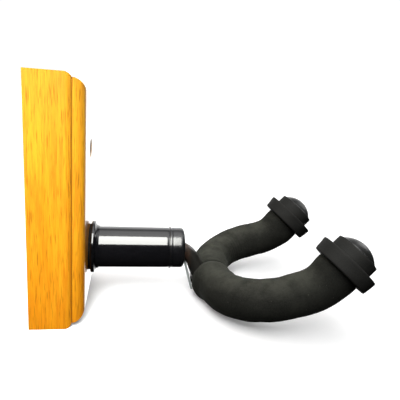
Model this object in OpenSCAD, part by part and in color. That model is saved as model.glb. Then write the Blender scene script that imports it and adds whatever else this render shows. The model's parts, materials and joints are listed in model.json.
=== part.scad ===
// Wall guitar hanger: a lacquered wood block carries a tube, and a foam-covered
// fork swivels on a bent steel stem that runs through the tube and the block.
// Frame: origin at the centre of the block's wall face, +X out of the wall, +Z up.
// Left is the -Y side, the left-hand side for a person who faces the wall.

/* [Wood block] */
// Height of the block, along the wall
block_h = 121; // [110:1:150]
// Width of the block, along the wall
block_w = 66; // [60:1:90]
// Depth of the block, out of the wall
block_t = 25.5; // [23:0.5:32]
// Radius of the round-over at the front face
round_over = 5.8; // [2:0.1:6]
// Radius of the eased outer edge, which runs out on the shoulder
edge_ease = 3.6; // [3:0.1:5]
// Width of the shoulder that the router leaves around the front
shoulder = 2.1; // [1.5:0.1:2.8]
// Height of the stem's axis above the block's bottom
stem_height = 30.5; // [28:0.5:45]

/* [Wall screw hole] */
// Diameter of the hole for the wall screw
screw_d = 4.5; // [3.5:0.1:6]
// Diameter of its countersink at the front face
screw_head_d = 10; // [7:0.1:12]
// Height of the hole above the block's bottom
screw_height = 84.5; // [60:0.5:100]

/* [Tube] */
// Outside diameter of the tube and its end cap
tube_d = 22.5; // [20:0.5:26]
// Wall thickness of the tube
tube_wall = 1.6; // [1:0.1:2]
// Distance from the wall to the front of the end cap
tube_reach = 77; // [74:0.5:95]
// Depth of the tube's socket in the block
socket_depth = 8; // [5:0.5:9]
// Length of the end cap that shows
cap_length = 8.8; // [8:0.1:12]
// Diameter of the flange ring at the block
ring_d = 28.4; // [28:0.1:34]

/* [Stem] */
// Diameter of the stem and of the fork rod
rod_d = 8; // [7:0.5:8]
// Radius of the stem's bend, at its centre line
stem_bend_r = 12; // [10:0.5:14]
// Angle that the stem bends down
stem_bend = 66; // [60:1:72]

/* [Fork] */
// Distance from the wall to the middle of the fork rod
fork_x = 93.8; // [93:0.1:95]
// Drop of the fork rod's middle below the stem's axis
fork_drop = 18.75; // [18:0.05:20]
// Angle that the fork's plane rises towards the prongs
fork_tilt = 14.5; // [10:0.5:18]
// Angle that each half of the fork's back leans forwards
vee = 14; // [8:1:18]
// Radius of the small bend at the fork's middle
middle_r = 16; // [14:1:20]
// Length of each straight beside the middle
back_len = 13.4; // [10:0.2:16]
// Radius of the bend at each side of the fork
side_r = 31; // [28:0.5:34]
// Length of each arm's straight before it turns up
arm_len = 7.8; // [5:0.2:16]
// Radius of the upward bend before each tip
rise_r = 27; // [24:0.5:30]
// Angle of the upward bend
rise = 34.5; // [25:0.5:40]
// Length of foam beyond the upward bend
tip_len = 5.4; // [3:0.2:10]

/* [Foam and tips] */
// Outside diameter of the foam sleeves
foam_d = 22; // [20:0.5:22.5]
// Diameter of each rubber stop disc at its front rim
stop_d = 33.4; // [28:0.2:36]
// Diameter of each stop disc where it meets the foam
stop_back_d = 31.6; // [27:0.2:35]
// Thickness of each stop disc
stop_t = 7.7; // [5:0.1:9]
// Diameter of each end collar
collar_d = 24; // [22:0.2:26]
// Thickness of each end collar
collar_t = 5.8; // [4:0.1:8]
// Diameter of each dome at its base
dome_d = 21; // [18:0.2:21.6]
// Height of each dome
dome_h = 5; // [4:0.1:7]

/* [Hidden] */
$fn = 96;

cut = 1;          // how far a cutting shape runs past a face
gap = 0.05;       // clearance of a fit, per side
rod_r = rod_d / 2;
tube_r = tube_d / 2;
bore_r = tube_r - tube_wall;
foam_r = foam_d / 2;
collar_r = collar_d / 2;
axis_z = stem_height - block_h / 2;

wood_colour = [0.93, 0.68, 0.22];
rubber_colour = [0.13, 0.13, 0.12];
enamel_colour = [0.05, 0.05, 0.06];
bush_colour = [0.16, 0.16, 0.16];
zinc_colour = [0.75, 0.76, 0.78];
nylon_colour = [0.15, 0.25, 0.6];
brown_colour = [0.2, 0.13, 0.09];
steel_colour = [0.3, 0.3, 0.31];
bright_colour = [0.86, 0.87, 0.88];
foam_colour = [0.24, 0.24, 0.22];
dome_colour = [0.18, 0.18, 0.18];

// block: the eased edge stops a ledge short of the shoulder's foot
ledge = 0.25;
ease_depth = shoulder - ledge;
ease_run = sqrt(ease_depth * (2 * edge_ease - ease_depth));

// web between the tube's socket and the counterbore for the nut
counterbore_d = 22;
counterbore_depth = 11;
stem_hole_r = rod_r + 0.5;
washer_r = 8;
washer_t = 1.6;
nut_flats = 13;
nut_t = 7.2;
insert_t = 1.8;
insert_r = 5.4;
washer_x = counterbore_depth - gap - washer_t;
nut_x = washer_x - gap - nut_t;
stem_start_x = 0.9;

// gasket and flange ring, from the block's face outwards
grommet_t = 1;
grommet_r = tube_r + 1.2;
flange_t = 2.2;
flange_x = block_t + grommet_t;
flange_edge_r = 0.7;
hub_len = 2;
hub_rise = 1.5;
hub_lip = 0.2;

// end cap and the bushes
cap_x = tube_reach - cap_length;
cap_face_t = 1.8;
cap_round = 1.8;
cap_bead_r = 0.35;
spigot_len = 6;
spigot_r = bore_r - gap;
spigot_bore_r = spigot_r - 1.5;
mouth_r = rod_r + 1.8;
bush_len = 10;
bush_flange_t = 2;
front_bush_x = cap_x - spigot_len - bush_flange_t;
bend_x = tube_reach - 5;
thrust_t = 1.6;
thrust_setback = 0.3;
thrust_play = 0.1;
thrust_x = bend_x - thrust_t - thrust_setback;
thrust_r = rod_r + 2.5;
front_bush_end = thrust_x - thrust_play;

// stem's lower straight, down to the level of the fork rod's middle
drop_len = (fork_drop - stem_bend_r * (1 - cos(stem_bend))) / sin(stem_bend);
weld_t = 0.7;
weld_len = 4;

// lengths of rod and sleeve stop a hair short of each other, inside a link with a small lip
hair = 0.1;
link_len = 0.6;
link_lip = 0.04;

// fork and tips
seam = 0.15;
tip_stack = stop_t + collar_t;
rod_end_in_dome = 2.4;

// seam plate: its top edge is placed from the cap's front and the stem's axis
plate_t = 1.2;
plate_w = 10;
plate_h = 17.4;
plate_top = [tube_reach + 0.95, -6.8];
plate_lean = 16.5;

// Block

module shoulder_section(length) {
    half = length / 2;
    panel = half - shoulder;
    step_x = block_t - round_over;
    union() {
        translate([0, -half]) square([step_x - ease_run, length]);
        translate([0, -half + edge_ease]) square([step_x, length - 2 * edge_ease]);
        translate([0, -panel + round_over]) square([block_t, 2 * (panel - round_over)]);
        for (side = [-1, 1]) {
            intersection() {
                translate([step_x - ease_run, side * (half - edge_ease)]) circle(edge_ease);
                translate([0, -half - cut]) square([step_x, length + 2 * cut]);
            }
            translate([step_x, side * (panel - round_over)]) circle(round_over);
        }
    }
}

module along_x(x, r, length) {
    // A cylinder on the stem's axis.
    translate([x, 0, axis_z]) rotate([0, 90, 0]) cylinder(h = length, r = r);
}

module ring_x(x, r_out, r_in, length) {
    difference() {
        along_x(x, r_out, length);
        along_x(x - cut, r_in, length + 2 * cut);
    }
}

module turned_x(x) {
    // Turns a profile, drawn with its radius on X and its length on Y, about the stem's axis.
    translate([x, 0, axis_z]) rotate([0, 90, 0]) rotate_extrude() children();
}

module wall_block() {
    screw_z = screw_height - block_h / 2;
    sink_depth = (screw_head_d - screw_d) / 2;
    color(wood_colour)
    difference() {
        intersection() {
            // upright edges: section seen from above, run up the block
            translate([0, 0, -block_h / 2]) linear_extrude(block_h) shoulder_section(block_w);
            // top and bottom edges: section seen from the side, run across the block
            rotate([90, 0, 0]) linear_extrude(block_w, center = true) shoulder_section(block_h);
        }
        along_x(block_t - socket_depth, tube_r + gap, socket_depth + cut);
        along_x(-cut, stem_hole_r, block_t + 2 * cut);
        along_x(-cut, counterbore_d / 2, counterbore_depth + cut);
        translate([-cut, 0, screw_z]) rotate([0, 90, 0]) cylinder(h = block_t + 2 * cut, d = screw_d);
        translate([block_t - sink_depth, 0, screw_z]) rotate([0, 90, 0])
            cylinder(h = sink_depth + cut, r1 = screw_d / 2, r2 = screw_d / 2 + sink_depth + cut);
    }
}

// Tube and its base rings

module base_grommet() {
    color(rubber_colour) ring_x(block_t, grommet_r, tube_r + gap, grommet_t);
}

module flange_ring() {
    // A ring with rounded rims and a short hub, which narrows towards the tube.
    rim_r = ring_d / 2;
    hub_r = tube_r + gap + hub_lip;
    color(enamel_colour)
    turned_x(flange_x)
    difference() {
        union() {
            square([rim_r - flange_edge_r, flange_t]);
            translate([0, flange_edge_r]) square([rim_r, flange_t - 2 * flange_edge_r]);
            for (y = [flange_edge_r, flange_t - flange_edge_r])
                translate([rim_r - flange_edge_r, y]) circle(flange_edge_r);
            polygon([[0, 0], [hub_r + hub_rise, flange_t], [hub_r, flange_t + hub_len],
                [0, flange_t + hub_len]]);
        }
        translate([-tube_r, -cut]) square([2 * tube_r + gap, flange_t + hub_len + 2 * cut]);
    }
}

module spacer_tube() {
    start = block_t - socket_depth;
    color(enamel_colour) ring_x(start, tube_r, bore_r, cap_x - start);
}

module end_cap() {
    color(enamel_colour)
    turned_x(cap_x)
    difference() {
        union() {
            square([tube_r, cap_length - cap_round]);
            square([tube_r - cap_round, cap_length]);
            translate([tube_r - cap_round, cap_length - cap_round]) circle(cap_round);
            translate([tube_r, cap_bead_r]) circle(cap_bead_r);
            translate([0, -spigot_len]) square([spigot_r, spigot_len + cut]);
        }
        translate([0, -spigot_len - cut]) square([mouth_r, cap_length + spigot_len + 2 * cut]);
        translate([0, -spigot_len - cut])
            square([spigot_bore_r, cap_length - cap_face_t + spigot_len + cut]);
        translate([-tube_r, -spigot_len - cut]) square([tube_r, cap_length + spigot_len + 2 * cut]);
    }
}

module rear_bush() {
    color(bush_colour) ring_x(block_t - socket_depth, bore_r - gap, rod_r + gap, bush_len);
}

module front_bush() {
    color(bush_colour) {
        ring_x(front_bush_x, bore_r - gap, rod_r + gap, bush_flange_t);
        ring_x(front_bush_x + bush_flange_t, spigot_bore_r - gap, rod_r + gap,
            front_bush_end - front_bush_x - bush_flange_t);
    }
}

// Stem and what holds it in

module rear_washer() {
    color(zinc_colour) ring_x(washer_x, washer_r, rod_r + gap, washer_t);
}

module lock_nut() {
    color(zinc_colour)
    difference() {
        translate([nut_x, 0, axis_z]) rotate([0, 90, 0])
            cylinder(h = nut_t, r = nut_flats / 2 / cos(30), $fn = 6);
        along_x(nut_x - cut, rod_r + gap, nut_t + 2 * cut);
        along_x(nut_x - cut, insert_r + gap, insert_t + cut);
    }
}

module nylon_insert() {
    color(nylon_colour) ring_x(nut_x, insert_r, rod_r + gap, insert_t - gap);
}

module thrust_collar() {
    color(steel_colour) ring_x(thrust_x, thrust_r, rod_r + gap, thrust_t);
}

module link(r) {
    // A short, barely wider ring that joins two lengths of a rod or a sleeve.
    translate([-link_len / 2, 0, 0]) rotate([0, 90, 0]) cylinder(h = link_len, r = r + link_lip);
}

module straight(r, length) {
    link(r);
    translate([hair, 0, 0]) rotate([0, 90, 0]) cylinder(h = length - 2 * hair, r = r);
}

module bend(r, bend_r, angle, from = hair) {
    // An arc that starts along X and turns towards Y; from is the length left out at its start.
    start = from / bend_r * 180 / PI;
    end = angle - hair / bend_r * 180 / PI;
    translate([0, bend_r, 0]) rotate([0, 0, start - 90]) rotate_extrude(angle = end - start)
        translate([bend_r, 0]) circle(r);
}

module after_bend(bend_r, angle) {
    translate([bend_r * sin(angle), bend_r * (1 - cos(angle)), 0]) rotate([0, 0, angle]) children();
}

module after_straight(length) {
    translate([length, 0, 0]) children();
}

module at_stem_bend() {
    // X runs along the stem's axis, and Y points down.
    translate([bend_x, 0, axis_z]) rotate([-90, 0, 0]) children();
}

module stem_end(r, length) {
    // The last part of the stem's lower straight, which runs into the fork rod.
    at_stem_bend() after_bend(stem_bend_r, stem_bend) translate([drop_len - length, 0, 0])
        rotate([0, 90, 0]) cylinder(h = length, r = r);
}

module stem_rod() {
    color(brown_colour)
    difference() {
        union() {
            along_x(stem_start_x, rod_r, bend_x - hair - stem_start_x);
            at_stem_bend() {
                link(rod_r);
                bend(rod_r, stem_bend_r, stem_bend);
                after_bend(stem_bend_r, stem_bend) straight(rod_r, drop_len);
            }
        }
        in_fork() middle_bend(rod_r + gap);
    }
}

// Fork

module in_fork() {
    translate([fork_x, 0, axis_z - fork_drop]) rotate([0, -fork_tilt, 0]) children();
}

module on_side(side) {
    // X starts sideways from the fork's middle, and Y points forwards: side -1 is left, 1 is right.
    in_fork() mirror([0, side > 0 ? 1 : 0, 0]) rotate([0, 0, -90]) children();
}

module after_middle() {
    after_bend(middle_r, vee) children();
}

module at_rise() {
    // The start of the upward bend: X runs along the arm, and Y points up.
    after_middle() after_straight(back_len) after_bend(side_r, 90 - vee)
        after_straight(arm_len) rotate([90, 0, 0]) children();
}

module at_tip() {
    // X runs out of the prong's tip, from where the foam ends.
    at_rise() after_bend(rise_r, rise) after_straight(tip_len) children();
}

module middle_bend(r) {
    half_angle = vee - hair / middle_r * 180 / PI;
    translate([middle_r, 0, 0]) rotate([0, 0, 180 - half_angle])
        rotate_extrude(angle = 2 * half_angle) translate([middle_r, 0]) circle(r);
}

module prong(r, end_len) {
    // One half of the fork, from the end of its middle bend to its tip.
    after_middle() {
        straight(r, back_len);
        after_straight(back_len) {
            link(r);
            bend(r, side_r, 90 - vee);
            after_bend(side_r, 90 - vee) straight(r, arm_len);
        }
    }
    at_rise() {
        link(r);
        bend(r, rise_r, rise);
        after_bend(rise_r, rise) {
            link(r);
            translate([hair, 0, 0]) rotate([0, 90, 0]) cylinder(h = end_len - hair, r = r);
        }
    }
}

module fork_rod() {
    color(steel_colour) {
        in_fork() middle_bend(rod_r);
        for (side = [-1, 1])
            on_side(side) prong(rod_r, tip_len + tip_stack + rod_end_in_dome);
    }
}

module weld_bead() {
    color(brown_colour)
    difference() {
        stem_end(rod_r + weld_t, weld_len);
        stem_end(rod_r + gap, weld_len + cut);
        in_fork() middle_bend(rod_r + gap);
    }
}

module seam_plate() {
    // A plate that leans with the fork, coped to the underside of the stem's bend.
    color(bright_colour)
    difference() {
        translate([plate_top.x, 0, axis_z + plate_top.y]) rotate([0, -plate_lean, 0])
            translate([-plate_t / 2, -plate_w / 2, -plate_h]) cube([plate_t, plate_w, plate_h]);
        at_stem_bend() bend(rod_r + gap, stem_bend_r, stem_bend);
        stem_end(rod_r + gap, drop_len);
    }
}

module foam_sleeve(side) {
    color(foam_colour)
    difference() {
        on_side(side) {
            bend(foam_r, middle_r, vee, seam);
            prong(foam_r, tip_len);
        }
        on_side(side) prong(rod_r + 2 * gap, tip_len + cut);
        in_fork() middle_bend(rod_r + 2 * gap);
        stem_end(rod_r + 2 * gap, drop_len);
        stem_end(rod_r + weld_t + gap, weld_len + gap);
    }
}

module foam_sleeve_left() { foam_sleeve(-1); }
module foam_sleeve_right() { foam_sleeve(1); }

// Tips

module stop_washer(side) {
    color(rubber_colour)
    on_side(side) at_tip() rotate([0, 90, 0]) difference() {
        cylinder(h = stop_t, d1 = stop_back_d, d2 = stop_d);
        translate([0, 0, -cut]) cylinder(h = stop_t + 2 * cut, r = rod_r + gap);
    }
}

module end_collar(side) {
    color(rubber_colour)
    on_side(side) at_tip() translate([stop_t, 0, 0]) rotate([0, 90, 0]) difference() {
        cylinder(h = collar_t, r = collar_r);
        translate([0, 0, -cut]) cylinder(h = collar_t + 2 * cut, r = rod_r + gap);
    }
}

module dome_cap(side) {
    dome_r = dome_d / 2;
    ball_r = (dome_r * dome_r + dome_h * dome_h) / (2 * dome_h);
    color(dome_colour)
    on_side(side) at_tip() translate([tip_stack, 0, 0]) rotate([0, 90, 0]) difference() {
        intersection() {
            translate([0, 0, dome_h - ball_r]) sphere(ball_r);
            cylinder(h = dome_h + cut, r = dome_r + cut);
        }
        translate([0, 0, -cut]) cylinder(h = rod_end_in_dome + gap + cut, r = rod_r + gap);
    }
}

module stop_washer_left() { stop_washer(-1); }
module stop_washer_right() { stop_washer(1); }
module end_collar_left() { end_collar(-1); }
module end_collar_right() { end_collar(1); }
module dome_cap_left() { dome_cap(-1); }
module dome_cap_right() { dome_cap(1); }

wall_block();
base_grommet();
flange_ring();
spacer_tube();
end_cap();
rear_bush();
front_bush();
rear_washer();
stem_rod();
thrust_collar();
lock_nut();
nylon_insert();
fork_rod();
weld_bead();
seam_plate();
foam_sleeve_left();
foam_sleeve_right();
stop_washer_left();
stop_washer_right();
end_collar_left();
end_collar_right();
dome_cap_left();
dome_cap_right();
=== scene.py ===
"""Wall guitar hanger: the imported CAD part, with every piece that shows modelled and finished in detail.

Lengths in this file are millimetres and angles are degrees unless a name says otherwise.
The part's frame: origin on the wall behind the block, +X out of the wall, +Z up.
"""

import json
import math

import bpy
from mathutils import Matrix, Vector, noise


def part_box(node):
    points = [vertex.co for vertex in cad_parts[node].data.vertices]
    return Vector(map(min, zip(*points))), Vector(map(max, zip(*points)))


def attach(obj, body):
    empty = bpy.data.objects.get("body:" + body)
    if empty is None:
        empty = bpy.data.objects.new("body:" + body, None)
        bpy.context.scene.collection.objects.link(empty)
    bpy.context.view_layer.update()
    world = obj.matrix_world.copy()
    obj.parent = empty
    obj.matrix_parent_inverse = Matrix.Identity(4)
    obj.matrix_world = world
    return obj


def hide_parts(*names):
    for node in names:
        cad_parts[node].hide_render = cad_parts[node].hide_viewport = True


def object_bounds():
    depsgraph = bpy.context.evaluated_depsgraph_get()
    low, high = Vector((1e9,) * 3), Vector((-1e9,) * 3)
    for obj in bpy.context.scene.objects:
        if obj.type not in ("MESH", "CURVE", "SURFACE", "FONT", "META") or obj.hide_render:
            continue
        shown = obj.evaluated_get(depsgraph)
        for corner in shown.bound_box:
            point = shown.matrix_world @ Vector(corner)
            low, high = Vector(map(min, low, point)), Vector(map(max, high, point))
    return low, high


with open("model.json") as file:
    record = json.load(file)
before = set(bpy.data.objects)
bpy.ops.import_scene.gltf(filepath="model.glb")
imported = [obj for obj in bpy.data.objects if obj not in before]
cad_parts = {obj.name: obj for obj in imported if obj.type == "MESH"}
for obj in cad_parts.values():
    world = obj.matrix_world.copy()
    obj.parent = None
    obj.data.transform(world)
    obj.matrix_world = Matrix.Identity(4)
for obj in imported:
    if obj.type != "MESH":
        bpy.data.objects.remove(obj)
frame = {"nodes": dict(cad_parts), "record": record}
cad_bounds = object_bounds()
nodes = frame["nodes"]
MM = 0.001

# ---------------------------------------------------------------- where the CAD part's pieces are


def cad_box(node):
    """Lowest and highest corners of a CAD node, in millimetres."""
    low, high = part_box(node)
    return low / MM, high / MM


BLOCK_LOW, BLOCK_HIGH = cad_box("wall_block")
GASKET_LOW, GASKET_HIGH = cad_box("base_grommet")
FLANGE_LOW, FLANGE_HIGH = cad_box("flange_ring")
TUBE_LOW, TUBE_HIGH = cad_box("spacer_tube")
CAP_LOW, CAP_HIGH = cad_box("end_cap")

TUBE_R = (TUBE_HIGH.z - TUBE_LOW.z) / 2
TUBE_WALL = 1.6
FIT = 0.05
STEM_AXIS_Z = (TUBE_HIGH.z + TUBE_LOW.z) / 2

# the block's raised panel, its shoulder, and the wall screw's hole
SHOULDER = 2.1
ROUND_OVER = 5.8
PANEL_HALF_W = BLOCK_HIGH.y - SHOULDER
PANEL_HALF_H = BLOCK_HIGH.z - SHOULDER
SHOULDER_X = BLOCK_HIGH.x - ROUND_OVER
SCREW_Z = 24.0
SINK_R = 5.0
SINK_SHADE_X = 2.0

# centre line of the stem: along the tube's axis, then a bend down to the middle of the fork
ROD_R = 4.0
STEM_START_X = cad_box("stem_rod")[0].x
STEM_BEND_X = CAP_HIGH.x - 5.0
STEM_BEND_R = 12.0
STEM_BEND = 66.0

# centre line of the fork, the same on both sides
FORK_MIDDLE = Vector((93.8, 0.0, STEM_AXIS_Z - 18.75))
FORK_TILT = 14.5
MIDDLE_R = 16.0
VEE = 14.0
BACK_LEN = 13.4
SIDE_R = 31.0
ARM_LEN = 7.8
RISE_R = 27.0
RISE = 34.5
TIP_LEN = 5.4

FOAM_R = 11.0
FOAM_TIP_R = 12.0
FOAM_BORE_R = 4.1
WELD_T = 0.7
WELD_LEN = 4.0
STOP_BACK_R = 15.8
STOP_R = 16.7
STOP_T = 7.7
COLLAR_R = 12.0
COLLAR_T = 5.8
DOME_R = 10.5
DOME_T = 5.0


def arc_length(radius, angle):
    return radius * math.radians(angle)


# straights as (length, None) and bends as (radius, angle)
LEVEL_PART = [(MIDDLE_R, VEE), (BACK_LEN, None), (SIDE_R, 90 - VEE), (ARM_LEN, None)]
RISING_PART = [(RISE_R, RISE), (TIP_LEN, None)]
LEVEL_LEN = arc_length(MIDDLE_R, VEE) + BACK_LEN + arc_length(SIDE_R, 90 - VEE) + ARM_LEN
FOAM_LEN = LEVEL_LEN + arc_length(RISE_R, RISE) + TIP_LEN
FORK_TURN = Matrix.Rotation(math.radians(-FORK_TILT), 3, "Y")

STEM_DROP = (STEM_AXIS_Z - FORK_MIDDLE.z - STEM_BEND_R * (1 - math.cos(math.radians(STEM_BEND)))
             ) / math.sin(math.radians(STEM_BEND))
STEM_RUN = STEM_BEND_X - STEM_START_X
STEM_PART = [(STEM_RUN, None), (STEM_BEND_R, STEM_BEND), (STEM_DROP, None)]
STEM_LEN = STEM_RUN + arc_length(STEM_BEND_R, STEM_BEND) + STEM_DROP


def walk(point, ahead, left, part, distance):
    """Follows straights and bends, which turn from ahead towards left.

    Returns the point, ahead and left at that distance."""
    for size, angle in part:
        if angle is None:
            step = min(distance, size)
            point = point + ahead * step
        else:
            step = min(distance, arc_length(size, angle))
            turn = step / size
            point = point + ahead * (size * math.sin(turn)) + left * (size * (1 - math.cos(turn)))
            ahead, left = (ahead * math.cos(turn) + left * math.sin(turn),
                           left * math.cos(turn) - ahead * math.sin(turn))
        distance -= step
        if distance <= 0:
            break
    return point, ahead, left


def fork_point(distance, side):
    """Point, way ahead, inner side and upper side at a distance along one half of the fork.

    Side -1 is left and 1 is right."""
    point, ahead, inner = walk(Vector(), Vector((0, side, 0)), Vector((1, 0, 0)), LEVEL_PART,
                               min(distance, LEVEL_LEN))
    up = Vector((0, 0, 1))
    if distance > LEVEL_LEN:
        point, ahead, up = walk(point, ahead, up, RISING_PART, distance - LEVEL_LEN)
    point, ahead, inner, up = (FORK_TURN @ v for v in (point, ahead, inner, up))
    return point + FORK_MIDDLE, ahead, inner, up


def stem_point(distance):
    """Point, way ahead and the two ring directions at a distance along the stem."""
    start = Vector((STEM_START_X, 0, STEM_AXIS_Z))
    point, ahead, _ = walk(start, Vector((1, 0, 0)), Vector((0, 0, -1)), STEM_PART, distance)
    across = Vector((0, 1, 0))
    return point, ahead, across, ahead.cross(across)


STEM_END, STEM_DOWN = stem_point(STEM_LEN)[:2]

# ---------------------------------------------------------------- meshes


def new_object(name, mesh, body, material, replaced):
    piece = bpy.data.objects.new(name, mesh)
    bpy.context.scene.collection.objects.link(piece)
    piece.data.materials.append(material)
    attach(piece, body)
    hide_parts(replaced)
    return piece


def ring_mesh(name, rings, closed, sharp_angle=40):
    """A mesh through rings of points: closed joins the last ring to the first, else flat ends close it."""
    count, around = len(rings), len(rings[0])
    points = [p * MM for ring in rings for p in ring]
    faces = []
    for i in range(count if closed else count - 1):
        a, b = i * around, (i + 1) % count * around
        for j in range(around):
            k = (j + 1) % around
            faces.append((a + j, a + k, b + k, b + j))
    if not closed:
        faces.append(tuple(reversed(range(around))))
        faces.append(tuple(range((count - 1) * around, count * around)))
    mesh = bpy.data.meshes.new(name)
    mesh.from_pydata(points, [], faces)
    mesh.validate()
    mesh.update()
    volume = sum(face.center.dot(face.normal) * face.area for face in mesh.polygons)
    if volume < 0:
        mesh.flip_normals()
    mesh.polygons.foreach_set("use_smooth", [True] * len(mesh.polygons))
    mesh.set_sharp_from_angle(angle=math.radians(sharp_angle))
    return mesh


def slerp(a, b, share):
    a, b = a.normalized(), b.normalized()
    angle = a.angle(b)
    if angle < 1e-6:
        return a
    return (a * math.sin((1 - share) * angle) + b * math.sin(share * angle)) / math.sin(angle)


def rounded(corners, steps=5):
    """A closed outline with its corners rounded: each corner is (x, y, radius)."""
    outline = []
    for i, (x, y, radius) in enumerate(corners):
        here = Vector((x, y))
        before = (Vector(corners[i - 1][:2]) - here).normalized()
        after = (Vector(corners[(i + 1) % len(corners)][:2]) - here).normalized()
        if radius <= 0:
            outline.append(here)
            continue
        half = before.angle(after) / 2
        centre = here + (before + after).normalized() * (radius / math.sin(half))
        first = here + before * (radius / math.tan(half)) - centre
        last = here + after * (radius / math.tan(half)) - centre
        outline += [centre + slerp(first, last, k / steps) * radius for k in range(steps + 1)]
    return outline


def filled_in(outline, longest):
    """The closed outline with extra points on its long sides."""
    points = []
    for a, b in zip(outline, outline[1:] + outline[:1]):
        pieces = max(1, math.ceil((b - a).length / longest))
        points += [a.lerp(b, k / pieces) for k in range(pieces)]
    return points


def turned(name, outline, origin, axis, side, wobble=0.0, segments=128, seed=0.0):
    """Turns a closed outline of (distance along the axis, radius) about the axis."""
    up = axis.cross(side)
    rings = []
    for along, radius in outline:
        ring = []
        for j in range(segments):
            angle = 2 * math.pi * j / segments
            out = side * math.cos(angle) + up * math.sin(angle)
            bump = wobble * noise.noise(Vector((out.x * 2 + seed, out.y * 2, out.z * 2 + along * 0.2)))
            ring.append(origin + axis * along + out * (radius + bump))
        rings.append(ring)
    return ring_mesh(name, rings, closed=True)


# ---------------------------------------------------------------- materials


class Shader:
    """A node material: its tree, with short ways to add and join nodes."""

    def __init__(self, name, **uniform):
        self.material = bpy.data.materials.new(name)
        self.material.use_nodes = True
        self.tree = self.material.node_tree
        self.bsdf = self.tree.nodes["Principled BSDF"]
        for key, value in uniform.items():
            self.bsdf.inputs[key.replace("_", " ")].default_value = value

    def add(self, kind, **inputs):
        node = self.tree.nodes.new(kind)
        for key, value in inputs.items():
            self.put(node.inputs[key.replace("_", " ")], value)
        return node

    def put(self, socket, value):
        if isinstance(value, bpy.types.NodeSocket):
            self.tree.links.new(value, socket)
        else:
            socket.default_value = value

    def place(self, scale=(1, 1, 1)):
        """The piece's own coordinates, in millimetres, stretched by scale."""
        where = self.tree.nodes.new("ShaderNodeTexCoord").outputs["Object"]
        return self.add("ShaderNodeMapping", Vector=where, Scale=[s / MM for s in scale]).outputs["Vector"]

    def axes(self, vector=None):
        split = self.add("ShaderNodeSeparateXYZ", Vector=self.place() if vector is None else vector)
        return split.outputs["X"], split.outputs["Y"], split.outputs["Z"]

    def noise(self, where, scale, detail=3.0, rough=0.55, distort=0.0):
        return self.add("ShaderNodeTexNoise", Vector=where, Scale=scale, Detail=detail, Roughness=rough,
                        Distortion=distort).outputs["Fac"]

    def ramp(self, value, *stops):
        node = self.add("ShaderNodeValToRGB", Fac=value)
        band = node.color_ramp
        while len(band.elements) < len(stops):
            band.elements.new(0.5)
        for element, (position, colour) in zip(band.elements, stops):
            element.position = position
            element.color = (*colour, 1) if hasattr(colour, "__len__") else (colour, colour, colour, 1)
        return node.outputs["Color"]

    def mix(self, share, a, b):
        node = self.tree.nodes.new("ShaderNodeMix")
        node.data_type = "RGBA"
        self.put(node.inputs[0], share)
        self.put(node.inputs[6], (*a, 1) if isinstance(a, tuple) else a)
        self.put(node.inputs[7], (*b, 1) if isinstance(b, tuple) else b)
        return node.outputs[2]

    def span(self, value, low, high, first=0.0, last=1.0):
        """The value, spread from first..last to low..high."""
        node = self.add("ShaderNodeMapRange", Value=value)
        node.inputs["From Min"].default_value, node.inputs["From Max"].default_value = first, last
        node.inputs["To Min"].default_value, node.inputs["To Max"].default_value = low, high
        return node.outputs["Result"]

    def math(self, kind, a, b=0.0):
        node = self.tree.nodes.new("ShaderNodeMath")
        node.operation = kind
        self.put(node.inputs[0], a)
        self.put(node.inputs[1], b)
        return node.outputs[0]

    def bump(self, height, strength, distance, normal=None):
        node = self.add("ShaderNodeBump", Height=height, Strength=strength, Distance=distance * MM)
        if normal is not None:
            self.put(node.inputs["Normal"], normal)
        return node.outputs["Normal"]

    def colour(self, value):
        self.put(self.bsdf.inputs["Base Color"], value)

    def roughness(self, value):
        self.put(self.bsdf.inputs["Roughness"], value)

    def normal(self, value):
        self.put(self.bsdf.inputs["Normal"], value)


# tones of the lacquered wood, from pale to dark
# painted light: the pale tone that lightens the block's top
LIT_TOP_LEMON = (0.93, 0.58, 0.055)
STRAW = (0.95, 0.53, 0.032)
HONEY = (0.92, 0.47, 0.022)
AMBER = (0.85, 0.385, 0.012)
GOLD = (0.81, 0.335, 0.008)
ORANGE = (0.76, 0.265, 0.005)
# painted shade: the deeper orange that darkens the block's bottom
SHADED_BOTTOM_ORANGE = (0.82, 0.262, 0.004)
RUSSET = (0.72, 0.235, 0.005)
STREAK_BROWN = (0.60, 0.160, 0.003)
PORE_BROWN = (0.36, 0.100, 0.003)
# painted shade in the inside corner of the block's shoulder
GROOVE_SHADE_BROWN = (0.30, 0.090, 0.004)
HOLE_BLACK = (0.012, 0.008, 0.006)


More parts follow.
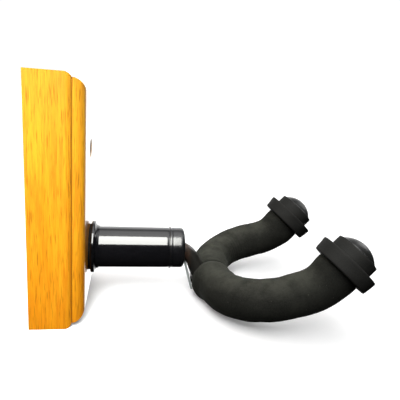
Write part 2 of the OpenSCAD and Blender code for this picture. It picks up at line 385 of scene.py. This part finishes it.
def wood():
    """Straight-grained wood, with painted light that makes it yellower towards its top, painted shade that
    makes it deeper orange towards its bottom, and painted shade in the corner of its shoulder.
    """
    s = Shader("lacquered_wood", Specular_IOR_Level=0.2, Coat_Weight=0.9, Coat_Roughness=0.08,
               Coat_IOR=1.45)
    bend = s.noise(s.place((0.03, 0.03, 0.012)), 1.0, 2.0)
    broad = s.noise(s.place((1, 1, 0.07)), 0.16, 4.0, 0.6, 0.5)
    streaks = s.noise(s.place((1, 1, 0.06)), 0.8, 5.0, 0.65, 0.25)
    fine = s.noise(s.place((1, 1, 0.03)), 2.6, 4.0, 0.6)
    pores = s.noise(s.place((1, 1, 0.045)), 2.4, 2.0, 0.5)
    tone = s.ramp(broad, (0.25, HONEY), (0.5, AMBER), (0.62, GOLD), (0.8, RUSSET))
    tone = s.mix(s.ramp(streaks, (0.42, 0.0), (0.66, 0.95)), tone, STREAK_BROWN)
    tone = s.mix(s.ramp(fine, (0.45, 0.0), (0.75, 0.45)), tone, STRAW)
    tone = s.mix(s.ramp(bend, (0.35, 0.0), (0.75, 0.35)), tone, ORANGE)
    pits = s.ramp(pores, (0.56, 0.0), (0.68, 1.0))
    _, _, z = s.axes()
    # painted shade: deeper orange towards the bottom of the block, broken up by noise
    painted_bottom_shade = s.math("MULTIPLY", s.span(z, 0.75, 0.0, BLOCK_LOW.z, BLOCK_HIGH.z / 2),
                  s.ramp(bend, (0.2, 0.6), (0.6, 1.0)))
    # painted light: paler towards the top of the block
    painted_top_light = s.span(z, 0.0, 0.24, BLOCK_LOW.z / 3, BLOCK_HIGH.z)
    tone = s.mix(painted_top_light, tone, LIT_TOP_LEMON)
    tone = s.mix(painted_bottom_shade, tone, SHADED_BOTTOM_ORANGE)
    tone = s.mix(s.math("MULTIPLY", pits, 0.7), tone, PORE_BROWN)
    # painted shade in the inside corner of the block's shoulder
    tone = s.mix(painted_groove_shade(s), tone, GROOVE_SHADE_BROWN)
    s.colour(s.mix(screw_hole_shade(s), tone, HOLE_BLACK))
    s.roughness(s.span(streaks, 0.32, 0.5))
    s.normal(s.bump(pits, 0.35, -0.08, s.bump(s.mix(0.5, fine, pits), 0.35, 0.05)))
    return s.material


def painted_groove_shade(s):
    """Strength of the painted shade in the inside corner of the block's shoulder."""
    x, y, z = s.axes()
    across = s.math("SUBTRACT", s.math("ABSOLUTE", y), PANEL_HALF_W)
    upright = s.math("SUBTRACT", s.math("ABSOLUTE", z), PANEL_HALF_H)
    beside = s.math("ABSOLUTE", s.math("MAXIMUM", across, upright))
    deep = s.math("ABSOLUTE", s.math("SUBTRACT", x, SHOULDER_X))
    return s.ramp(s.math("MAXIMUM", beside, deep), (0.15, 0.8), (0.6, 0.0))


def screw_hole_shade(s):
    """Shade inside the wall screw's countersink: 1 inside, 0 at its rim, beyond it and at the back."""
    x, y, z = s.axes()
    up = s.math("SUBTRACT", z, SCREW_Z)
    out = s.math("SQRT", s.math("ADD", s.math("MULTIPLY", y, y), s.math("MULTIPLY", up, up)))
    inside = s.span(out, 1.0, 0.0, SINK_R - 1.0, SINK_R - 0.1)
    return s.math("MULTIPLY", inside, s.span(x, 0.0, 1.0, SINK_SHADE_X, SINK_SHADE_X + 1.0))


def enamel(name, low, high, dark):
    s = Shader(name, Specular_IOR_Level=0.5)
    mottle = s.noise(s.place(), 0.35, 3.0)
    dust = s.noise(s.place(), 6.0, 2.0)
    s.colour(s.ramp(mottle, (0.3, dark), (0.8, tuple(1.7 * c for c in dark))))
    s.roughness(s.math("ADD", s.span(mottle, low, high), s.ramp(dust, (0.68, 0.0), (0.8, 0.18))))
    s.normal(s.bump(s.noise(s.place(), 0.5, 2.0), 0.12, 0.06))
    return s.material


# tones of the foam, from dark to pale
CELL_BLACK = (0.0050, 0.0051, 0.0042)
# painted shade along the seam where the two sleeves meet
SEAM_SHADE_BLACK = (0.005, 0.005, 0.0045)
COAL = (0.0075, 0.0078, 0.0062)
CHARCOAL = (0.0120, 0.0124, 0.0100)
ASH = (0.0210, 0.0215, 0.0170)
GRAIN_GREY = (0.030, 0.0305, 0.0245)
# dust with painted top light
DUST_AND_LIT_GREY = (0.062, 0.063, 0.050)
FLECK_GREY = (0.105, 0.100, 0.078)


def foam():
    """Matt foam with small cells, a few pale flecks, dust with painted light where it faces up, and painted
    shade along the seam.
    """
    s = Shader("charcoal_foam", Specular_IOR_Level=0.05, Sheen_Weight=0.045, Sheen_Roughness=0.35,
               Sheen_Tint=(0.96, 1.0, 0.86, 1.0))
    cloud = s.noise(s.place(), 0.11, 4.0, 0.6)
    grain = s.noise(s.place(), 2.0, 3.0, 0.7)
    fleck = s.noise(s.place(), 0.9, 2.0, 0.5)
    cells = s.add("ShaderNodeTexVoronoi", Vector=s.place(), Scale=1.9).outputs["Distance"]
    tone = s.ramp(cloud, (0.3, COAL), (0.55, CHARCOAL), (0.8, ASH))
    tone = s.mix(s.ramp(grain, (0.4, 0.0), (0.8, 0.6)), tone, GRAIN_GREY)
    tone = s.mix(s.ramp(cells, (0.0, 0.5), (0.35, 0.0)), tone, CELL_BLACK)
    tone = s.mix(s.ramp(fleck, (0.73, 0.0), (0.80, 0.6)), tone, FLECK_GREY)
    # dust and painted light: paler where the foam faces up, in patches
    _, _, facing_up = s.axes(s.tree.nodes.new("ShaderNodeTexCoord").outputs["Normal"])
    dust = s.math("MULTIPLY", s.ramp(facing_up, (0.35, 0.0), (0.97, 1.0)),
                  s.ramp(cloud, (0.3, 0.25), (0.62, 0.9)))
    tone = s.mix(dust, tone, s.mix(grain, GRAIN_GREY, DUST_AND_LIT_GREY))
    # painted shade: darkens the foam along the seam where the two sleeves meet
    _, y, _ = s.axes()
    painted_seam_shade = s.ramp(s.math("ABSOLUTE", y), (SEAM + 0.3, 0.9), (SEAM + 1.0, 0.0))
    s.colour(s.mix(painted_seam_shade, tone, SEAM_SHADE_BLACK))
    s.roughness(s.span(grain, 0.8, 0.95))
    s.normal(s.bump(cells, 0.35, 0.12, s.bump(grain, 0.5, 0.2)))
    return s.material


def rubber():
    s = Shader("black_rubber", Specular_IOR_Level=0.12)
    cloud = s.noise(s.place(), 0.2, 4.0, 0.6)
    grain = s.noise(s.place(), 2.4, 3.0, 0.6)
    tone = s.ramp(cloud, (0.3, (0.0042, 0.0042, 0.0037)), (0.75, (0.0095, 0.0095, 0.0081)))
    s.colour(s.mix(s.ramp(grain, (0.4, 0.0), (0.75, 0.6)), tone, (0.017, 0.017, 0.0145)))
    s.roughness(s.span(cloud, 0.7, 0.85))
    s.normal(s.bump(grain, 0.4, 0.1))
    return s.material


def plastic():
    s = Shader("black_plastic", Specular_IOR_Level=0.2)
    cloud = s.noise(s.place(), 0.25, 3.0)
    scuff = s.noise(s.place((1, 1, 0.2)), 2.2, 4.0, 0.65)
    s.colour(s.ramp(cloud, (0.3, (0.006, 0.0062, 0.006)), (0.8, (0.012, 0.0124, 0.0116))))
    s.roughness(s.math("ADD", s.span(cloud, 0.3, 0.42), s.ramp(scuff, (0.6, 0.0), (0.8, 0.2))))
    s.normal(s.bump(scuff, 0.15, 0.04))
    return s.material


def browned_steel():
    """Dark lacquered steel, rusty where it leaves the end cap."""
    s = Shader("browned_steel", Specular_IOR_Level=0.5, Coat_Weight=0.8, Coat_Roughness=0.1)
    patch = s.noise(s.place(), 0.22, 4.0, 0.65)
    speck = s.noise(s.place(), 1.8, 4.0, 0.65)
    x, _, _ = s.axes()
    near_cap = s.span(x, 1.0, 0.0, CAP_HIGH.x + 0.5, CAP_HIGH.x + 5.0)
    rust = s.math("MULTIPLY", s.ramp(patch, (0.36, 0.2), (0.6, 1.0)), near_cap)
    plain = s.mix(speck, (0.008, 0.0075, 0.0065), (0.018, 0.017, 0.014))
    tone = s.mix(rust, plain, (0.075, 0.034, 0.018))
    spots = s.math("MULTIPLY", s.ramp(speck, (0.5, 0.0), (0.72, 0.6)), rust)
    s.colour(s.mix(spots, tone, (0.20, 0.10, 0.055)))
    s.roughness(s.span(speck, 0.22, 0.45))
    s.normal(s.bump(speck, 0.25, 0.07))
    return s.material


def metal(name, colour, low, high):
    s = Shader(name, Metallic=1.0)
    cloud = s.noise(s.place(), 0.3, 4.0, 0.6)
    lines = s.noise(s.place((1, 0.06, 0.06)), 5.0, 3.0, 0.6)
    dark = tuple(0.72 * c for c in colour)
    tone = s.mix(s.ramp(cloud, (0.35, 0.0), (0.75, 1.0)), colour, dark)
    s.colour(s.mix(s.ramp(lines, (0.55, 0.0), (0.8, 0.35)), tone, dark))
    s.roughness(s.math("ADD", s.span(cloud, low, high), s.ramp(lines, (0.5, 0.0), (0.8, 0.1))))
    s.normal(s.bump(lines, 0.2, 0.02))
    return s.material


def bright_plate():
    """Plated sheet with painted light and shade: brighter where it faces along the world's Y, and darker
    elsewhere.
    """
    s = Shader("bright_plate", Metallic=0.25)
    cloud = s.noise(s.place(), 0.5, 4.0, 0.6)
    lines = s.noise(s.place((1, 1, 0.05)), 5.0, 3.0, 0.6)
    normal = s.tree.nodes.new("ShaderNodeNewGeometry").outputs["Normal"]
    _, side, _ = s.axes(normal)
    # painted light: sides facing along the world's Y are lit, the rest are painted shaded
    edge = s.ramp(s.math("ABSOLUTE", side), (0.86, 0.0), (0.97, 1.0))
    shaded_face_tone = s.mix(cloud, (0.05, 0.053, 0.053), (0.10, 0.106, 0.106))
    s.colour(s.mix(edge, shaded_face_tone, s.mix(lines, (0.27, 0.29, 0.28), (0.42, 0.45, 0.44))))
    s.roughness(s.span(cloud, 0.25, 0.4))
    s.normal(s.bump(lines, 0.2, 0.02))
    return s.material


def nylon(name, light, dark):
    s = Shader(name, Specular_IOR_Level=0.5)
    cloud = s.noise(s.place(), 0.4, 3.0)
    s.colour(s.ramp(cloud, (0.3, dark), (0.75, light)))
    s.roughness(s.span(cloud, 0.35, 0.5))
    s.normal(s.bump(s.noise(s.place(), 3.0, 2.0), 0.15, 0.04))
    return s.material


# foam sleeves meet at the fork's middle, where their edges are rounded over a run and to a depth
SEAM = 0.25
SEAM_RUN = 2.3
SEAM_DEPTH = 3.4
TIP_ROUND = 0.9

finish = {
    "lacquered_wood": wood(),
    "black_enamel": enamel("black_enamel", 0.07, 0.14, (0.0035, 0.0035, 0.0042)),
    "charcoal_foam": foam(),
    "black_rubber": rubber(),
    "black_plastic": plastic(),
    "browned_steel": browned_steel(),
    "plain_steel": metal("plain_steel", (0.34, 0.34, 0.35), 0.35, 0.5),
    "bright_plate": bright_plate(),
    "zinc_plate": metal("zinc_plate", (0.66, 0.67, 0.7), 0.3, 0.45),
    "nylon": nylon("nylon", (0.03, 0.03, 0.03), (0.018, 0.018, 0.018)),
    "blue_nylon": nylon("blue_nylon", (0.03, 0.08, 0.42), (0.02, 0.05, 0.3)),
}
worn_enamel = enamel("worn_enamel", 0.16, 0.26, (0.0045, 0.0045, 0.0052))

# every CAD node that stays takes the finish of its own slot in the record
for entry in frame["record"]["subparts"]:
    node = nodes[entry["node"]]
    if not node.material_slots:
        node.data.materials.append(None)
    for material_slot in node.material_slots:
        material_slot.link = "OBJECT"
        material_slot.material = finish[entry["material_slot"]]

# ---------------------------------------------------------------- foam sleeves

AROUND = 144
RING_STEP = 0.55
EDGE_STEPS = 10
SEAM_CROWN = {-1: 0.85, 1: 0.3}
CROWN_AT, CROWN_WIDTH = 5.0, 3.6
FLARE_LEN = 16.0
SQUEEZE_WIDTH = 13.0
STRETCH = 0.25
WRINKLE, WRINKLE_RATE = 0.09, 2.1
RIPPLE, RIPPLE_RATE = 0.05, 0.55
LUMP_RATE = 0.055
LUMPS = ((0.42, 1), (0.16, 3.1), (0.05, 11))  # size and fineness of each layer


def smooth(value, low, high):
    share = min(1.0, max(0.0, (value - low) / (high - low)))
    return share * share * (3 - 2 * share)


def foam_profile():
    """(distance, inset from the skin) along a sleeve: rounded edge, length, rounded edge."""
    turns = [math.radians(90 * k / EDGE_STEPS) for k in range(EDGE_STEPS + 1)]
    start, stop = SEAM + SEAM_RUN, FOAM_LEN - TIP_ROUND
    count = int((stop - start) / RING_STEP)
    profile = [(SEAM + SEAM_RUN * (1 - math.cos(t)), SEAM_DEPTH * (1 - math.sin(t))) for t in turns]
    profile += [(start + (stop - start) * k / count, 0.0) for k in range(1, count)]
    profile += [(stop + TIP_ROUND * math.sin(t), TIP_ROUND * (1 - math.cos(t))) for t in turns]
    return profile


def foam_skin(distance, inner, point, out, side):
    """Radius of the foam at a distance along the half and in a direction out of the centre line."""
    radius = FOAM_R + (FOAM_TIP_R - FOAM_R) * smooth(distance, FOAM_LEN - FLARE_LEN, FOAM_LEN - 1)
    radius += SEAM_CROWN[side] * math.exp(-((distance - CROWN_AT) / CROWN_WIDTH) ** 2)
    bend_mid = arc_length(MIDDLE_R, VEE) + BACK_LEN + arc_length(SIDE_R, 90 - VEE) / 2
    squeeze = math.exp(-((distance - bend_mid) / SQUEEZE_WIDTH) ** 2)
    facing_in = out.dot(inner)
    radius -= STRETCH * squeeze * max(0.0, -facing_in)
    wrinkle = math.sin(distance * WRINKLE_RATE + 0.6 * out.z)
    radius += WRINKLE * squeeze * max(0.0, facing_in) ** 2 * wrinkle
    radius += RIPPLE * math.sin(distance * RIPPLE_RATE + side)
    where = (point + out * radius) * LUMP_RATE + Vector((7 * side, 3, 1))
    for size, fineness in LUMPS:
        radius += size * noise.noise(where * fineness)
    return radius


# the groove reaches past the stem's end and past its bend, with room for the stem and its weld
GROOVE_PAST_END = 3
GROOVE_PAST_BEND = 2
GROOVE_ROOM = 0.08
WELD_ROOM = 0.1


def stem_groove(p, side):
    """Moves a point of the foam out of the way of the stem and its weld, sideways."""
    offset = p - STEM_END
    along = offset.dot(STEM_DOWN)
    if along > GROOVE_PAST_END or along < -STEM_DROP - GROOVE_PAST_BEND:
        return p
    clear = ROD_R + GROOVE_ROOM + (WELD_T + FIT if along > -WELD_LEN - WELD_ROOM else 0.0)
    flat = offset - STEM_DOWN * along
    flat.y = 0
    reach = clear * clear - flat.length_squared
    if reach <= 0:
        return p
    keep = math.sqrt(reach)
    return Vector((p.x, side * keep, p.z)) if p.y * side < keep else p


def foam_ring(distance, side, radius_at):
    """One ring of a sleeve; radius_at gives the radius for a point, an inner side and a way out."""
    point, _, inner, up = fork_point(distance, side)
    ring = []
    for j in range(AROUND):
        angle = 2 * math.pi * j / AROUND
        out = inner * math.cos(angle) + up * math.sin(angle)
        ring.append(stem_groove(point + out * radius_at(point, inner, out), side))
    return ring


def foam_sleeve(side, name, replaced):
    """A closed tube of foam: its skin out, its tip face in, its bore back and its seam face out."""
    bore_rings, face_rings = 60, 8
    rings = []
    for distance, inset in foam_profile():
        rings.append(foam_ring(distance, side, lambda point, inner, out:
                               foam_skin(distance, inner, point, out, side) - inset))
    tip_wall = FOAM_TIP_R - TIP_ROUND - FOAM_BORE_R
    seam_wall = FOAM_R - SEAM_DEPTH - FOAM_BORE_R
    plain = [(FOAM_LEN, FOAM_BORE_R + tip_wall * (1 - k / face_rings)) for k in range(1, face_rings)]
    plain += [(SEAM + (FOAM_LEN - SEAM) * (1 - k / bore_rings), FOAM_BORE_R) for k in range(bore_rings + 1)]
    plain += [(SEAM, FOAM_BORE_R + seam_wall * k / face_rings) for k in range(1, face_rings)]
    for distance, radius in plain:
        rings.append(foam_ring(distance, side, lambda point, inner, out: radius))
    mesh = ring_mesh(name, rings, closed=True, sharp_angle=70)
    sleeve = new_object(name, mesh, "yoke", finish["charcoal_foam"], replaced)


foam_sleeve(-1, "foam_left", "foam_sleeve_left")
foam_sleeve(1, "foam_right", "foam_sleeve_right")

# ---------------------------------------------------------------- rubber stops and caps at the tips

TIP_BORE_R = ROD_R + FIT
DOME_STEPS = 24
DOME_POLE_R = 0.02
DOME_SHARE = 0.985


def dome_outline():
    ball = (DOME_R ** 2 + DOME_T ** 2) / (2 * DOME_T)
    whole = math.asin(DOME_R / ball)
    outline = [(0, DOME_POLE_R), (0, DOME_R - 0.3), (0.12, DOME_R - 0.08), (0.4, DOME_R - 0.05)]
    for k in range(1, DOME_STEPS + 1):
        turn = DOME_SHARE * whole * (1 - k / DOME_STEPS)
        outline.append((DOME_T - ball + ball * math.cos(turn), max(DOME_POLE_R, ball * math.sin(turn))))
    return [Vector(p) for p in outline]


def tip_pieces(side, word):
    origin, axis, inner, _ = fork_point(FOAM_LEN, side)
    disc = rounded([(0, TIP_BORE_R, 0), (0, STOP_BACK_R, 0.9), (STOP_T / 2, (STOP_BACK_R + STOP_R) / 2, 0),
                    (STOP_T, STOP_R, 0.6), (STOP_T, TIP_BORE_R, 0)])
    collar = rounded([(0, TIP_BORE_R, 0), (0, COLLAR_R, 0.3), (COLLAR_T, COLLAR_R, 0.5),
                      (COLLAR_T, TIP_BORE_R, 0)])
    stack = [("stop_disc", "stop_washer", "black_rubber", filled_in(disc, 1.0), 0.0, 0.22),
             ("collar", "end_collar", "black_rubber", filled_in(collar, 1.0), STOP_T, 0.12),
             ("dome", "dome_cap", "black_plastic", dome_outline(), STOP_T + COLLAR_T, 0.0)]
    for kind, replaced, slot_name, outline, start, wobble in stack:
        name = f"{kind}_{word}"
        mesh = turned(name, outline, origin + axis * start, axis, inner, wobble, seed=side + start)
        new_object(name, mesh, "yoke", finish[slot_name], f"{replaced}_{word}")


tip_pieces(-1, "left")
tip_pieces(1, "right")

# ---------------------------------------------------------------- stem with its thread

THREAD_LEN = 14.0
THREAD_PITCH = 1.25
THREAD_DEPTH = 0.45
THREAD_RUN_OUT = 1.5
RINGS_PER_TURN = 8
CHAMFER_LEN = 0.5
CHAMFER_SLOPE = 0.8
STRAIGHT_RINGS = 30
BEND_RINGS = 90
STEM_AROUND = 96


def evenly(first, last, count):
    return [first + (last - first) * k / (count - 1) for k in range(count)]


def stem_radius(distance, share_round):
    """Radius of the stem: threaded and chamfered at its start, and plain beyond the thread."""
    if distance >= THREAD_LEN:
        return ROD_R
    phase = (distance / THREAD_PITCH + share_round) % 1.0
    depth = THREAD_DEPTH * min(1.0, (THREAD_LEN - distance) / THREAD_RUN_OUT)
    chamfer = CHAMFER_SLOPE * max(0.0, CHAMFER_LEN - distance)
    return ROD_R - depth * (1 - abs(2 * phase - 1)) - chamfer


def stem_bar():
    threaded = int(THREAD_LEN / THREAD_PITCH * RINGS_PER_TURN)
    stations = [k * THREAD_PITCH / RINGS_PER_TURN for k in range(threaded)]
    stations += evenly(THREAD_LEN, STEM_RUN - 1, STRAIGHT_RINGS)
    stations += evenly(STEM_RUN, STEM_LEN - 0.5, BEND_RINGS)
    rings = []
    for distance in stations:
        point, _, side, up = stem_point(distance)
        ring = []
        for j in range(STEM_AROUND):
            angle = 2 * math.pi * j / STEM_AROUND
            out = side * math.cos(angle) + up * math.sin(angle)
            ring.append(point + out * stem_radius(distance, j / STEM_AROUND))
        rings.append(ring)
    mesh = ring_mesh("stem_bar", rings, closed=False)
    new_object("stem_bar", mesh, "yoke", finish["browned_steel"], "stem_rod")


stem_bar()

# ---------------------------------------------------------------- tube, base rings and end cap

HUB_LEN = 2.0
HUB_RISE = 1.5
HUB_R = TUBE_R + FIT + 0.2
CAP_FACE_T = 1.8
CAP_MOUTH_R = ROD_R + 1.8
SPIGOT_R = TUBE_R - TUBE_WALL - FIT
SPIGOT_BORE_R = SPIGOT_R - 1.5
TURNED_AROUND = 160


def turned_part(name, corners, slot_name, replaced, longest, material=None):
    """A part turned about the tube's axis from a closed outline of (x, radius, rounding)."""
    outline = filled_in(rounded(corners), longest)
    mesh = turned(name, outline, Vector((0, 0, STEM_AXIS_Z)), Vector((1, 0, 0)), Vector((0, 1, 0)),
                  segments=TURNED_AROUND)
    new_object(name, mesh, "base", material or finish[slot_name], replaced)


def gasket():
    back, front, bore = GASKET_LOW.x, GASKET_HIGH.x, TUBE_R + FIT
    rim = (GASKET_HIGH.z - GASKET_LOW.z) / 2
    corners = [(back, bore, 0), (back, rim, 0.2), (front, rim, 0.2), (front, bore, 0)]
    turned_part("gasket", corners, "black_rubber", "base_grommet", 0.5)


def flange():
    back, end, bore = FLANGE_LOW.x, FLANGE_HIGH.x, TUBE_R + FIT
    face = end - HUB_LEN
    rim = (FLANGE_HIGH.z - FLANGE_LOW.z) / 2
    corners = [(back, bore, 0), (back, rim, 0.7), (face, rim, 0.85), (face, HUB_R + HUB_RISE, 0.4),
               (face + 0.7, HUB_R + 0.45, 1.2), (end, HUB_R, 0.1), (end, bore, 0)]
    turned_part("flange", corners, "black_enamel", "flange_ring", 0.5)


def tube_skin():
    back, front, bore = TUBE_LOW.x, TUBE_HIGH.x, TUBE_R - TUBE_WALL
    corners = [(back, bore, 0.2), (back, TUBE_R, 0.2), (front, TUBE_R, 0.25), (front, bore, 0)]
    turned_part("tube_skin", corners, "black_enamel", "spacer_tube", 2.0)


def end_cap():
    """A cap with a spigot in the tube, and a bead between two grooves at its joint."""
    back, joint, front = CAP_LOW.x, TUBE_HIGH.x, CAP_HIGH.x
    groove_r, bead_r = TUBE_R - 0.4, TUBE_R + 0.35
    inside = front - CAP_FACE_T
    corners = [(back, SPIGOT_BORE_R, 0.2), (back, SPIGOT_R, 0.3), (joint, SPIGOT_R, 0),
               (joint, groove_r, 0.1), (joint + 0.45, groove_r, 0.1),
               (joint + 0.5, bead_r, 0.25), (joint + 1.55, bead_r, 0.25),
               (joint + 1.6, groove_r, 0.1), (joint + 2.1, groove_r, 0.1),
               (joint + 2.2, TUBE_R, 0.15), (front, TUBE_R, 1.9),
               (front, CAP_MOUTH_R, 0.3), (inside, CAP_MOUTH_R, 0.2), (inside, SPIGOT_BORE_R, 0)]
    turned_part("cap", corners, "black_enamel", "end_cap", 0.8, worn_enamel)


gasket()
flange()
tube_skin()
end_cap()

# ---------------------------------------------------------------- floor

FLOOR_REACH = 6.0
FLOOR_TONE = 0.93
FLOOR_GLOW = 0.14


def pale_floor():
    z = cad_bounds[0].z
    mesh = bpy.data.meshes.new("floor")
    corners = [(x * FLOOR_REACH, y * FLOOR_REACH, z) for x, y in ((-1, -1), (1, -1), (1, 1), (-1, 1))]
    mesh.from_pydata(corners, [], [(0, 1, 2, 3)])
    floor = bpy.data.objects.new("floor", mesh)
    bpy.context.scene.collection.objects.link(floor)
    paper = Shader("floor_paper", Roughness=0.95, Specular_IOR_Level=0.0, Emission_Color=(1, 1, 1, 1),
                   Emission_Strength=FLOOR_GLOW)
    cloud = paper.noise(paper.place(), 0.02, 2.0)
    paper.colour(paper.ramp(cloud, (0.3, FLOOR_TONE), (0.7, FLOOR_TONE + 0.02)))
    mesh.materials.append(paper.material)
    floor.visible_glossy = False
    floor.visible_diffuse = False


pale_floor()

# ---------------------------------------------------------------- light

world = bpy.data.worlds.new("studio")
bpy.context.scene.world = world
world.use_nodes = True
tree = world.node_tree
tree.nodes.clear()


def world_node(kind, *values, **inputs):
    node = tree.nodes.new(kind)
    sockets = [(node.inputs[key.replace("_", " ")], value) for key, value in inputs.items()]
    for socket, value in sockets + list(zip(node.inputs, values)):
        if isinstance(value, bpy.types.NodeSocket):
            tree.links.new(value, socket)
        else:
            socket.default_value = value
    return node


def combine(kind, a, b):
    node = world_node("ShaderNodeMath", a, b)
    node.operation = kind
    return node.outputs[0]


def spread(value, *stops):
    """A soft step through (value, strength) stops."""
    total = None
    for (low, start), (high, end) in zip(stops, stops[1:]):
        step = world_node("ShaderNodeMapRange", Value=value)
        step.interpolation_type = "SMOOTHSTEP"
        step.inputs["From Min"].default_value, step.inputs["From Max"].default_value = low, high
        step.inputs["To Min"].default_value = start if total is None else 0.0
        step.inputs["To Max"].default_value = end if total is None else end - start
        total = step.outputs[0] if total is None else combine("ADD", total, step.outputs[0])
    return total


def sky(strength):
    return world_node("ShaderNodeBackground", Strength=strength, Color=(1, 1, 1, 1)).outputs[0]


def studio():
    """White for the camera, dark with bright panels for reflections, and light from above for the rest."""
    around = world_node("ShaderNodeTexCoord").outputs["Generated"]
    where = world_node("ShaderNodeSeparateXYZ", Vector=around)
    out, behind, height = where.outputs["X"], where.outputs["Y"], where.outputs["Z"]
    matt = combine("MULTIPLY", spread(height, (-0.4, 0.02), (0.2, 0.11), (0.95, 2.0)),
                   spread(out, (0.2, 1.0), (0.85, 0.35)))
    back_panel = spread(behind, (0.55, 0.0), (0.9, 2.0))
    front_panel = combine("MULTIPLY", spread(behind, (-0.1, 1.0), (0.4, 0.0)),
                          spread(height, (0.3, 0.02), (0.5, 0.12), (0.8, 0.8)))
    top_panel = spread(height, (0.72, 0.0), (0.96, 2.4))
    gloss = combine("ADD", combine("ADD", back_panel, front_panel), top_panel)
    ray = world_node("ShaderNodeLightPath").outputs
    lit = world_node("ShaderNodeMixShader", ray["Is Glossy Ray"], sky(matt), sky(gloss)).outputs[0]
    seen = world_node("ShaderNodeMixShader", ray["Is Camera Ray"], lit, sky(1.05)).outputs[0]
    world_node("ShaderNodeOutputWorld", seen)


def softbox(name, place, target, size, watts, spread_angle=180, colour=(1, 1, 1), seen_in=""):
    """An area light; seen_in says whether only matt or only glossy surfaces get its light."""
    light = bpy.data.lights.new(name, "AREA")
    light.shape = "RECTANGLE"
    light.size, light.size_y = size
    light.energy, light.color, light.spread = watts, colour, math.radians(spread_angle)
    box = bpy.data.objects.new(name, light)
    bpy.context.scene.collection.objects.link(box)
    box.location = place
    box.rotation_mode = "QUATERNION"
    box.rotation_quaternion = (Vector(target) - Vector(place)).to_track_quat("-Z", "Y")
    box.visible_camera = False
    box.visible_diffuse = seen_in != "gloss"
    box.visible_glossy = seen_in != "matt"


def sunlight(name, towards, strength, width):
    """Even light from one side, as soft as its width in degrees; only matt surfaces get it."""
    light = bpy.data.lights.new(name, "SUN")
    light.energy, light.angle = strength, math.radians(width)
    lamp = bpy.data.objects.new(name, light)
    bpy.context.scene.collection.objects.link(lamp)
    lamp.rotation_mode = "QUATERNION"
    lamp.rotation_quaternion = Vector(towards).to_track_quat("Z", "Y")
    lamp.visible_glossy = False


# places and sizes of the lights are in metres
KEY_PLACE, KEY_TARGET, KEY_SIZE = (-0.03, -0.22, 0.20), (-0.005, -0.03, 0.02), (0.14, 0.14)
KEY_WATTS, KEY_SPREAD = 0.150, 46
SUN_TOWARDS, SUN_STRENGTH, SUN_WIDTH = (0.08, -0.48, 0.87), 0.6, 40
STRIP_PLACE, STRIP_TARGET, STRIP_SIZE = (-0.17, -0.36, 0.50), (-0.17, 0.0, -0.03), (0.70, 0.54)
STRIP_WATTS, STRIP_COLOUR = 27.0, (1.0, 1.0, 0.95)
RIM_PLACE, RIM_TARGET, RIM_SIZE = (0.586, 0.252, 0.216), (0.10, 0.0, -0.03), (0.10, 0.30)
RIM_WATTS = 0.5

studio()
softbox("key", KEY_PLACE, KEY_TARGET, KEY_SIZE, KEY_WATTS, KEY_SPREAD, seen_in="matt")
sunlight("overhead", SUN_TOWARDS, SUN_STRENGTH, SUN_WIDTH)
softbox("strip", STRIP_PLACE, STRIP_TARGET, STRIP_SIZE, STRIP_WATTS, colour=STRIP_COLOUR, seen_in="gloss")
softbox("rim", RIM_PLACE, RIM_TARGET, RIM_SIZE, RIM_WATTS, seen_in="gloss")

# ---------------------------------------------------------------- camera

YAW, PITCH, ROLL = (math.radians(a) for a in (10.41, 14.47, -4.50))
CAMERA_PLACE = Vector((43.843, -222.183, 56.499)) * MM
LENS, SENSOR = 37.77, 36.0


def camera():
    ahead = Vector((math.sin(YAW) * math.cos(PITCH), math.cos(YAW) * math.cos(PITCH), -math.sin(PITCH)))
    right = Vector((math.cos(YAW), -math.sin(YAW), 0))
    down = ahead.cross(right)
    right, down = (right * math.cos(ROLL) + down * math.sin(ROLL),
                   down * math.cos(ROLL) - right * math.sin(ROLL))
    lens = bpy.data.cameras.new("camera")
    lens.lens, lens.sensor_width = LENS, SENSOR
    lens.clip_start, lens.clip_end = 0.01, 50.0
    piece = bpy.data.objects.new("camera", lens)
    bpy.context.scene.collection.objects.link(piece)
    turn = Matrix((right, -down, -ahead)).transposed().to_4x4()
    piece.matrix_world = Matrix.Translation(CAMERA_PLACE) @ turn
    bpy.context.scene.camera = piece
    bpy.context.scene.view_settings.view_transform = "Standard"


camera()
